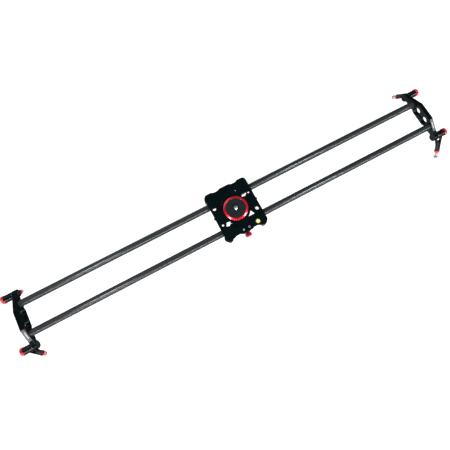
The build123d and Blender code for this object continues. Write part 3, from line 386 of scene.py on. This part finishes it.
def label_material():
    """Brushed aluminium, its grey partly a painted reflection of the light its facet catches, with a brighter
    blank stripe along its middle.
    """
    s = Shader("brushed_label_painted_sheen")
    brushed = s.noise(2600.0, 3.0, (6, 0.3, 0.3), 0.65)
    axes = s.add("ShaderNodeSeparateXYZ", {0: s.position}).outputs
    _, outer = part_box("label_plates")
    low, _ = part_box("end_bracket_right")
    across = s.math("ABSOLUTE", s.math("SUBTRACT", s.math("ABSOLUTE", axes[0]), (low.x + outer.x) / 2))
    along = s.math("ABSOLUTE", s.math("SUBTRACT", axes[1], middle("label_plates").y))
    inside = [s.ramp(value, edge, 0.85 * edge) for value, edge in zip((across, along), LABEL_STRIPE)]
    stripe = s.math("MULTIPLY", inside[0], inside[1])
    colour = s.mix(stripe, LABEL_GREY_AND_SHEEN, LABEL_STRIPE_GREY)
    shaded = s.mix(s.ramp(brushed, 0.3, 0.7, 0.0, 0.3), colour, (0.06, 0.06, 0.065, 1))
    rough = s.ramp(brushed, 0.25, 0.75, 0.34, 0.48)
    normal = s.bump(brushed, 0.012 * MM, 0.30)
    return s.set(Base_Color=shaded, Roughness=rough, Normal=normal, Metallic=0.5)


def moulded_material(name, base, roughness, grain_size, depth):
    """Plastic or rubber with a fine moulded grain."""
    s = Shader(name)
    cells = s.add("ShaderNodeTexVoronoi", {"Vector": s.position, "Scale": 1 / grain_size},
                  feature="SMOOTH_F1").outputs["Distance"]
    cloud = s.noise(70.0, 3.0)
    lighter = tuple(min(1.0, c * 1.5 + 0.004) for c in base[:3]) + (1,)
    tone = s.mix(s.ramp(cloud, 0.3, 0.7), base, lighter)
    colour = s.mix(s.math("MULTIPLY", s.edges(0.3 * MM), 0.25), tone, lighter)
    rough = s.ramp(cells, 0.1, 0.7, roughness - 0.06, roughness + 0.08)
    normal = s.bump(cells, depth, 0.6)
    return s.set(Base_Color=colour, Roughness=rough, Normal=normal, Specular_IOR_Level=0.4)


def pad_material():
    """The camera seat's rubber: matt, slate grey, with a fine speckle."""
    s = Shader("seat_rubber")
    cells = s.add("ShaderNodeTexVoronoi", {"Vector": s.position, "Scale": 2600.0}).outputs["Distance"]
    cloud = s.noise(140.0, 4.0)
    tone = s.mix(s.ramp(cloud, 0.3, 0.7), (0.0045, 0.0090, 0.0120, 1), (0.007, 0.013, 0.017, 1))
    colour = s.mix(s.ramp(cells, 0.45, 0.75, 0.0, 0.5), tone, (0.022, 0.028, 0.033, 1))
    normal = s.bump(cells, 0.03 * MM, 0.5)
    return s.set(Base_Color=colour, Roughness=0.75, Normal=normal, Specular_IOR_Level=0.12)


LEVEL_RIM_SHADE = (4.1 * MM, 5.3 * MM)  # where the painted shade at the liquid's rim starts and where it is darkest


def level_material():
    """Yellow-green liquid under clear acrylic: painted light makes it brighter towards the middle, painted shade
    darkens its rim, and it glows faintly with its own colour.
    """
    s = Shader("level_liquid")
    centre = middle("level_vial")
    offset = s.add("ShaderNodeVectorMath", {0: s.position, 1: tuple(centre)}, operation="SUBTRACT")
    flat = s.add("ShaderNodeVectorMath", {0: offset.outputs[0], 1: (1, 1, 0)}, operation="MULTIPLY")
    distance = s.add("ShaderNodeVectorMath", {0: flat.outputs[0]}, operation="LENGTH").outputs["Value"]
    # Painted shade: the liquid darkens to olive at its rim and is brightest in the middle.
    rim = s.ramp(distance, *LEVEL_RIM_SHADE)
    swirl = s.noise(500.0, 2.0)
    tone = s.mix(rim, (0.80, 0.84, 0.26, 1), (0.05, 0.065, 0.01, 1))
    colour = s.mix(s.ramp(swirl, 0.4, 0.7, 0.0, 0.2), tone, (0.90, 0.93, 0.42, 1))
    # Painted glow: the liquid gives off its own colour, though it is no lamp.
    return s.set(Base_Color=colour, Roughness=0.22, Coat_Weight=1.0, Coat_Roughness=0.04,
                 Emission_Color=colour, Emission_Strength=0.25)


def bubble_material():
    """The level's pale bubble."""
    s = Shader("level_bubble")
    sheen = s.noise(900.0, 2.0)
    colour = s.mix(s.ramp(sheen, 0.3, 0.7), (0.88, 0.91, 0.50, 1), (0.95, 0.97, 0.72, 1))
    return s.set(Base_Color=colour, Roughness=0.12, Coat_Weight=1.0, Coat_Roughness=0.03)


SHADERS = {
    "carbon_tube": carbon_material(),
    "black_anodised": black_anodised_material("black_anodised", (0.0030, 0.0080, 0.0095), 0.5, 0.26),
    "red_anodised": red_anodised_material("red_anodised", (0.66, 0.006, 0.026)),
    "bright_steel": steel_material("bright_steel", (0.64, 0.63, 0.61), 0.24, (1, 1, 1), 0.72),
    "black_steel": steel_material("black_steel", (0.020, 0.021, 0.022), 0.42, (1, 1, 1)),
    "wheel_steel": steel_material("turned_steel", (0.42, 0.42, 0.43), 0.13, (0.04, 0.04, 3.0)),
    "black_plastic": moulded_material("black_plastic", (0.012, 0.012, 0.013, 1), 0.50,
                                      0.45 * MM, 0.02 * MM),
    "black_rubber": moulded_material("black_rubber", (0.014, 0.015, 0.016, 1), 0.72,
                                     0.30 * MM, 0.03 * MM),
    "white_nylon": moulded_material("white_nylon", (0.62, 0.61, 0.57, 1), 0.45, 0.60 * MM, 0.01 * MM),
    "label_aluminium": label_material(),
    "level_liquid": level_material(),
}
BRACKET_SHADER = black_anodised_material("satin_black_anodised", (0.013, 0.017, 0.018), 0.85, 0.18)
LEG_SHADER = black_anodised_material("glossy_black_anodised", (0.030, 0.032, 0.034), 0.88, 0.10)
FOOT_SHADER = moulded_material("grey_rubber", (0.13, 0.13, 0.13, 1), 0.60, 0.30 * MM, 0.02 * MM)
OWN_SHADERS = (("end_bracket", BRACKET_SHADER), ("leg_arm", LEG_SHADER), ("foot_tip", FOOT_SHADER))
# A darker copy of the red anodised finish for the brake knob: painted shade on a part of the same red.
BRAKE_SHADER = red_anodised_material("shaded_red_anodised", (0.36, 0.005, 0.020))
PAD_SHADER = pad_material()
BUBBLE_SHADER = bubble_material()


def paint_cad_nodes():
    """Give every CAD node the procedural material of its slot."""
    for part in record["subparts"]:
        for slot in frame["nodes"][part["node"]].material_slots:
            slot.link = "OBJECT"
            slot.material = SHADERS[part["material_slot"]]
            for start, shader in OWN_SHADERS:
                if part["node"].startswith(start):
                    slot.material = shader


# ---------------------------------------------------------------- rails and legs

TUBE_BORE = 7.5 * MM
TUBE_EDGE = 0.25 * MM
TUBE_SEGMENTS = 128


def make_tube(row):
    """One tube with a true round section and slightly broken ends."""
    node = f"rail_tube_{row}"
    centre = middle(node)
    axis = Vector((1, 0, 0))
    low, high, radius = extent(node, centre, axis)
    profile = [(radius - TUBE_EDGE, low), (radius, low + TUBE_EDGE)]
    profile += [(radius, high - TUBE_EDGE), (radius - TUBE_EDGE, high)]
    profile += [(TUBE_BORE, high), (TUBE_BORE, low)]
    lathe(f"carbon_{node}", centre, axis, profile, "frame", SHADERS["carbon_tube"], [node],
          TUBE_SEGMENTS, closed=True)


KNOB_BORE = (3.05 * MM, 5.2 * MM)  # radius and depth
KNOB_RIBS = 48
KNOB_RIB_DEPTH = 0.32 * MM
KNOB_ROUND = 1.5 * MM
KNOB_DISH = (7.4 * MM, 0.8 * MM)  # radius and depth
KNOB_DISH_SLOPE = 0.3 * MM
KNOB_BOSS = (2.4 * MM, 2.1 * MM)  # radius at its foot and at its top
KNOB_BOSS_DROP = 0.2 * MM


def make_lock_knob(corner):
    """A knurled knob with rounded rims, a dished outer face and a small centre boss."""
    node = f"lock_knob_{corner}"
    point, axis = joint_axis(f"hinge_knob_turn_{corner}")
    low, high, radius = extent(node, point, axis)
    bore, bore_depth = KNOB_BORE
    dish, dish_depth = KNOB_DISH
    profile = [(0, low + bore_depth), (bore, low + bore_depth), (bore, low)]
    profile += arc((radius - KNOB_ROUND, low + KNOB_ROUND), KNOB_ROUND, -90, 0, 6)
    profile += arc((radius - KNOB_ROUND, high - KNOB_ROUND), KNOB_ROUND, 0, 90, 6)
    profile += [(dish + KNOB_DISH_SLOPE, high), (dish, high - dish_depth)]
    profile += [(KNOB_BOSS[0], high - dish_depth), (KNOB_BOSS[1], high - KNOB_BOSS_DROP)]
    profile += [(0, high - KNOB_BOSS_DROP)]
    shape = ribs(KNOB_RIBS, KNOB_RIB_DEPTH, low + 0.6 * KNOB_ROUND, high - 0.6 * KNOB_ROUND, dish)
    lathe(f"knurled_{node}", point, axis, profile, f"hinge_knob_{corner}",
          SHADERS["red_anodised"], [node], KNOB_RIBS * RIB_SEGMENTS, shape=shape)


RING_BORE = 4.3 * MM
RING_BORE_EDGE = 0.3 * MM
RING_RIBS = 36
RING_RIB_DEPTH = 0.28 * MM
RING_ROUND = 0.8 * MM


def make_foot_ring(corner):
    """The knurled lock ring round a foot's stud."""
    node = f"foot_lock_ring_{corner}"
    point, axis = joint_axis(f"foot_ring_turn_{corner}")
    low, high, radius = extent(node, point, axis)
    mouth = RING_BORE + RING_BORE_EDGE
    profile = [(mouth, low)]
    profile += arc((radius - RING_ROUND, low + RING_ROUND), RING_ROUND, -90, 0, 5)
    profile += arc((radius - RING_ROUND, high - RING_ROUND), RING_ROUND, 0, 90, 5)
    profile += [(mouth, high), (RING_BORE, high - RING_BORE_EDGE), (RING_BORE, low + RING_BORE_EDGE)]
    shape = ribs(RING_RIBS, RING_RIB_DEPTH, low + 0.5 * RING_ROUND, high - 0.5 * RING_ROUND, mouth)
    lathe(f"knurled_{node}", point, axis, profile, f"foot_ring_{corner}",
          SHADERS["red_anodised"], [node], RING_RIBS * RIB_SEGMENTS, closed=True, shape=shape)


STUD_PITCH = 1.25 * MM
STUD_LEAD_IN = 0.75 * MM


def make_foot_stud(corner):
    """The threaded stud of a foot."""
    node = f"foot_stud_{corner}"
    point, axis = joint_axis(f"foot_ring_turn_{corner}")
    low, high, radius = extent(node, point, axis)
    bm = bmesh.new()
    threaded_rod(bm, point, axis, low, high, radius, STUD_PITCH, STUD_LEAD_IN)
    finish_mesh(f"threaded_{node}", bm, f"foot_{corner}", SHADERS["bright_steel"],
                [node])


# ---------------------------------------------------------------- carriage

RING_CROWN = 0.7 * MM
RING_BEVEL_DROP = 1.75 * MM
RING_LIP = 0.6 * MM
MOUNT_BORE = 26.3 * MM
MOUNT_SEGMENTS = 192


def make_mount_ring():
    """The red ring: a narrow inner lip and a wide bevel that falls to a rounded rim."""
    centre = middle("mount_ring")
    centre.z = 0
    low, high, radius = extent("mount_ring", centre, UP)
    slope = math.degrees(math.atan2(RING_BEVEL_DROP, radius - MOUNT_BORE - RING_LIP))
    rim = (radius - RING_CROWN, high - RING_BEVEL_DROP - 0.6 * RING_CROWN)
    profile = [(radius, low)]
    profile += arc(rim, RING_CROWN, 0, 90 - slope, 6)
    profile += arc((MOUNT_BORE + RING_LIP, high - RING_LIP), RING_LIP, 90 - slope, 180, 8)
    profile += [(MOUNT_BORE, low)]
    lathe("turned_mount_ring", centre, UP, profile, CARRIAGE, SHADERS["red_anodised"],
          ["mount_ring"], MOUNT_SEGMENTS, closed=True)


PAD_BORE = 7.6 * MM
PAD_RIDGE = 1.3 * MM
PAD_RIDGE_DEPTH = 0.14 * MM
PAD_RIDGE_STEPS = 6
PAD_EDGE = 0.35 * MM
PAD_SEGMENTS = 128


def make_mount_pad():
    """The rubber seat with fine concentric ridges."""
    centre = middle("mount_pad")
    centre.z = 0
    low, high, radius = extent("mount_pad", centre, UP)
    span = radius - PAD_BORE - 2 * PAD_EDGE
    steps = int(span / PAD_RIDGE) * PAD_RIDGE_STEPS
    profile = [(PAD_BORE, low), (PAD_BORE, high - PAD_EDGE)]
    for step in range(steps + 1):
        wave = 0.5 - 0.5 * math.cos(2 * math.pi * step / PAD_RIDGE_STEPS)
        profile.append((PAD_BORE + PAD_EDGE + span * step / steps, high - PAD_RIDGE_DEPTH * wave))
    profile += [(radius, high - PAD_EDGE), (radius, low)]
    lathe("ridged_mount_pad", centre, UP, profile, CARRIAGE, PAD_SHADER, ["mount_pad"],
          PAD_SEGMENTS, closed=True)


CAMERA_PITCH = 25.4 / 16 * MM
CAMERA_LEAD_IN = 1.1 * MM
CAMERA_SCREW_SEGMENTS = 64
SLOT_WIDTH = 1.3 * MM
SLOT_DEPTH = 1.3 * MM


def make_camera_screw():
    """The 3/8-16 screw with its thread and a screwdriver slot."""
    centre = middle("camera_screw")
    centre.z = 0
    low, high, radius = extent("camera_screw", centre, UP)
    bm = bmesh.new()
    threaded_rod(bm, centre, UP, low, high, radius, CAMERA_PITCH, CAMERA_LEAD_IN, CAMERA_SCREW_SEGMENTS)
    piece = finish_mesh("threaded_camera_screw", bm, "camera_screw_body",
                        SHADERS["bright_steel"], ["camera_screw"])
    slot_bm = bmesh.new()
    size = Matrix.Diagonal((SLOT_WIDTH, 3 * radius, 2 * SLOT_DEPTH, 1))
    bmesh.ops.create_cube(slot_bm, size=1, matrix=Matrix.Translation((centre.x, centre.y, high)) @ size)
    slot_mesh = bpy.data.meshes.new("slot_cutter")
    slot_bm.to_mesh(slot_mesh)
    slot_bm.free()
    cutter = bpy.data.objects.new("slot_cutter", slot_mesh)
    bpy.context.scene.collection.objects.link(cutter)
    cut(piece, cutter)


WHEEL_EDGE = 0.5 * MM
WHEEL_BORE = 6.55 * MM
WHEEL_RECESS = (7.6 * MM, 8.0 * MM)  # radius at its floor and at the wheel's face
WHEEL_RECESS_DEPTH = 0.4 * MM
WHEEL_SEGMENTS = 112
GROOVE_RADIUS = 9.3 * MM


def make_wheel(corner):
    """One steel wheel with its round groove, broken edges and recessed faces."""
    node = f"guide_wheel_{corner}"
    point, _ = joint_axis(f"wheel_spin_{corner}")
    tube = middle("rail_tube_far")
    centre = Vector((point.x, point.y, tube.z))
    low, high, radius = extent(node, centre, UP)
    to_tube = abs(point.y) - abs(tube.y)
    reach = math.degrees(math.asin(math.sqrt(GROOVE_RADIUS**2 - (to_tube - radius) ** 2) / GROOVE_RADIUS))
    floor, face = WHEEL_RECESS
    low_floor = low + WHEEL_RECESS_DEPTH
    high_floor = high - WHEEL_RECESS_DEPTH
    profile = [(WHEEL_BORE, low_floor), (floor, low_floor), (face, low)]
    profile += [(radius - WHEEL_EDGE, low), (radius, low + WHEEL_EDGE)]
    profile += arc((to_tube, 0), GROOVE_RADIUS, 180 + reach, 180 - reach, 20)
    profile += [(radius, high - WHEEL_EDGE), (radius - WHEEL_EDGE, high)]
    profile += [(face, high), (floor, high_floor), (WHEEL_BORE, high_floor)]
    lathe(f"turned_{node}", centre, UP, profile, f"wheel_{corner}",
          SHADERS["wheel_steel"], [node], WHEEL_SEGMENTS, closed=True)


# One end of a bearing, from its bore outwards: radius and depth below the end, in millimetres
BEARING_FACE = ((3.0, 0.0), (4.3, 0.0), (4.5, 0.15), (4.5, 0.55), (5.7, 0.55), (5.7, 0.25), (6.5, 0.25))
BEARING_SEGMENTS = 72


def make_bearing(corner):
    """A ball bearing's rings and shields, on the wheel's axle."""
    point, _ = joint_axis(f"wheel_spin_{corner}")
    centre = Vector((point.x, point.y, middle("wheel_bearings").z))
    low, high = (value.z - centre.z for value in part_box("wheel_bearings"))
    profile = [(radius * MM, low + inset * MM) for radius, inset in BEARING_FACE]
    profile += [(radius * MM, high - inset * MM) for radius, inset in reversed(BEARING_FACE)]
    lathe(f"bearing_{corner}", centre, UP, profile, CARRIAGE, SHADERS["bright_steel"],
          ["wheel_bearings"], BEARING_SEGMENTS, closed=True)


LEVEL_DOME = 0.35 * MM
LEVEL_SEGMENTS = 72
MARK_RADIUS = 2.9 * MM
MARK_THICKNESS = 0.09 * MM
MARK_DROP = 0.04 * MM
MARK_SEGMENTS = 64
BUBBLE_RADIUS = 2.3 * MM
BUBBLE_DROP = 0.22 * MM
BUBBLE_RISE = 0.2 * MM
BUBBLE_BASE = 0.5 * MM
BUBBLE_SEGMENTS = 48
BUBBLE_OFFSET = Vector((0.35 * MM, 0.25 * MM, 0))


def make_level():
    """The round level: domed liquid, a centre ring mark and a bubble."""
    centre = middle("level_vial")
    centre.z = 0
    low, high, radius = extent("level_vial", centre, UP)
    profile = [(0, low), (radius, low)] + dome(radius, high - LEVEL_DOME, LEVEL_DOME, 7)
    lathe("level_liquid_body", centre, UP, profile, CARRIAGE, SHADERS["level_liquid"],
          ["level_vial"], LEVEL_SEGMENTS)
    mark = arc((MARK_RADIUS, high - MARK_DROP), MARK_THICKNESS, 0, 315, 7)
    lathe("level_ring_mark", centre, UP, mark, CARRIAGE, SHADERS["black_plastic"],
          segments=MARK_SEGMENTS, closed=True)
    bubble = [(0, high - BUBBLE_BASE), (BUBBLE_RADIUS, high - BUBBLE_BASE)]
    bubble += dome(BUBBLE_RADIUS, high - BUBBLE_DROP, BUBBLE_RISE, 6)
    lathe("level_bubble", centre + BUBBLE_OFFSET, UP, bubble, CARRIAGE, BUBBLE_SHADER,
          segments=BUBBLE_SEGMENTS)


BRAKE_RIBS = 30
BRAKE_RIB_DEPTH = 0.20 * MM
BRAKE_BORE = (3.05 * MM, 8.0 * MM)  # radius and depth
BRAKE_NECK = (4.6 * MM, 1.0 * MM)  # radius and length
BRAKE_NECK_EDGE = 0.3 * MM
BRAKE_SHOULDER = 2.6 * MM
BRAKE_RIM = 1.4 * MM
BRAKE_DISH = (4.8 * MM, 5.2 * MM)  # radius at its floor and at the knob's end
BRAKE_DISH_DEPTH = 0.6 * MM


def make_brake_knob():
    """The drum-shaped brake knob with a ribbed side and a dished end."""
    point, axis = joint_axis("brake_knob_turn")
    outward = -axis
    low, high, radius = extent("brake_knob", point, outward)
    bore, bore_depth = BRAKE_BORE
    neck, neck_length = BRAKE_NECK
    core = radius - BRAKE_SHOULDER
    profile = [(0, low + bore_depth), (bore, low + bore_depth), (bore, low)]
    profile += [(neck - BRAKE_NECK_EDGE, low), (neck, low + BRAKE_NECK_EDGE), (neck, low + neck_length)]
    profile += arc((core, low + neck_length + BRAKE_SHOULDER), BRAKE_SHOULDER, -90, 0, 10)
    profile += arc((radius - BRAKE_RIM, high - BRAKE_RIM), BRAKE_RIM, 0, 90, 8)
    floor, mouth = BRAKE_DISH
    profile += [(mouth, high), (floor, high - BRAKE_DISH_DEPTH), (0, high - BRAKE_DISH_DEPTH)]
    shape = ribs(BRAKE_RIBS, BRAKE_RIB_DEPTH, low + 0.7 * BRAKE_SHOULDER, high - 0.6 * BRAKE_RIM, core)
    lathe("ribbed_brake_knob", point, outward, profile, "brake_knob_body", BRAKE_SHADER,
          ["brake_knob"], BRAKE_RIBS * RIB_SEGMENTS, shape=shape)


# ---------------------------------------------------------------- studio

CAMERA_AT = Vector((-0.1177, -0.1706, 0.8811))
CAMERA_AIM = Vector((-0.0448, -0.0259, 0.1000))
CAMERA_ROLL = -1.05
CAMERA_LENS = 25.13
CAMERA_SENSOR = 36.0
FLOOR_HALF = 6.0
FLOOR_GREY = 0.50
FLOOR_GLOW = 0.86
LIGHT_AIM = Vector((0, 0, 0.08))
# Each light's name, place, width, height and power
LIGHTS = (
    ("near_strip", Vector((0, -1.95, 1.35)), 8.0, 0.18, 140),
    ("left_box", Vector((-0.93, -0.34, 1.75)), 0.34, 0.34, 12),
    ("right_box", Vector((0.90, -0.74, 1.65)), 0.34, 0.34, 13),
    ("far_fill", Vector((-0.9, 1.7, 1.6)), 2.6, 0.8, 7),
)


def facing(place, aim):
    """A placement that looks from one point towards another."""
    return Matrix.Translation(place) @ (aim - place).to_track_quat("-Z", "Y").to_matrix().to_4x4()


def make_camera():
    """The main viewpoint: above the slider, turned a little, through a wide lens."""
    data = bpy.data.cameras.new("camera")
    data.lens = CAMERA_LENS
    data.sensor_width = CAMERA_SENSOR
    camera = bpy.data.objects.new("camera", data)
    roll = Matrix.Rotation(math.radians(CAMERA_ROLL), 4, "Z")
    camera.matrix_world = facing(CAMERA_AT, CAMERA_AIM) @ roll
    bpy.context.scene.collection.objects.link(camera)
    bpy.context.scene.camera = camera


def make_light(name, place, width, height, power):
    """A soft rectangular light that faces the slider."""
    data = bpy.data.lights.new(name, "AREA")
    data.shape = "RECTANGLE"
    data.size = width
    data.size_y = height
    data.energy = power
    light = bpy.data.objects.new(name, data)
    light.matrix_world = facing(place, LIGHT_AIM)
    bpy.context.scene.collection.objects.link(light)


def make_floor():
    """A plain pale floor."""
    bm = bmesh.new()
    for x, y in ((-1, -1), (1, -1), (1, 1), (-1, 1)):
        bm.verts.new((x * FLOOR_HALF, y * FLOOR_HALF, 0))
    bm.faces.new(bm.verts)
    mesh = bpy.data.meshes.new("floor")
    bm.to_mesh(mesh)
    bm.free()
    floor = bpy.data.objects.new("floor", mesh)
    bpy.context.scene.collection.objects.link(floor)
    material = bpy.data.materials.new("pale_floor")
    material.use_nodes = True
    shader = material.node_tree.nodes["Principled BSDF"]
    shader.inputs["Base Color"].default_value = grey(FLOOR_GREY)
    shader.inputs["Roughness"].default_value = 0.9
    shader.inputs["Specular IOR Level"].default_value = 0.1
    shader.inputs["Emission Color"].default_value = grey(1.0)
    shader.inputs["Emission Strength"].default_value = FLOOR_GLOW
    mesh.materials.append(material)


def make_world():
    """Soft light from all sides: pale near the horizon and dim overhead."""
    world = bpy.data.worlds.new("studio")
    bpy.context.scene.world = world
    world.use_nodes = True
    tree = world.node_tree
    direction = tree.nodes.new("ShaderNodeTexCoord").outputs["Generated"]
    height = tree.nodes.new("ShaderNodeSeparateXYZ")
    tree.links.new(direction, height.inputs[0])
    fade = tree.nodes.new("ShaderNodeMapRange")
    fade.interpolation_type = "SMOOTHSTEP"
    tree.links.new(height.outputs["Z"], fade.inputs["Value"])
    for key, value in (("From Min", 0.10), ("From Max", 0.80), ("To Min", 0.35), ("To Max", 0.03)):
        fade.inputs[key].default_value = value
    tree.links.new(fade.outputs["Result"], tree.nodes["Background"].inputs["Strength"])
    tree.nodes["Background"].inputs["Color"].default_value = grey(1.0)


def make_studio():
    """The camera, the floor, the surroundings and the lights."""
    make_camera()
    make_floor()
    make_world()
    for light in LIGHTS:
        make_light(*light)
    bpy.context.scene.view_settings.view_transform = "Standard"


make_studio()
paint_cad_nodes()
for row in ("far", "near"):
    make_tube(row)
for corner in CORNERS:
    make_lock_knob(corner)
    make_foot_ring(corner)
    make_foot_stud(corner)
    make_wheel(corner)
    make_bearing(corner)
make_mount_ring()
make_mount_pad()
make_camera_screw()
make_level()
make_brake_knob()
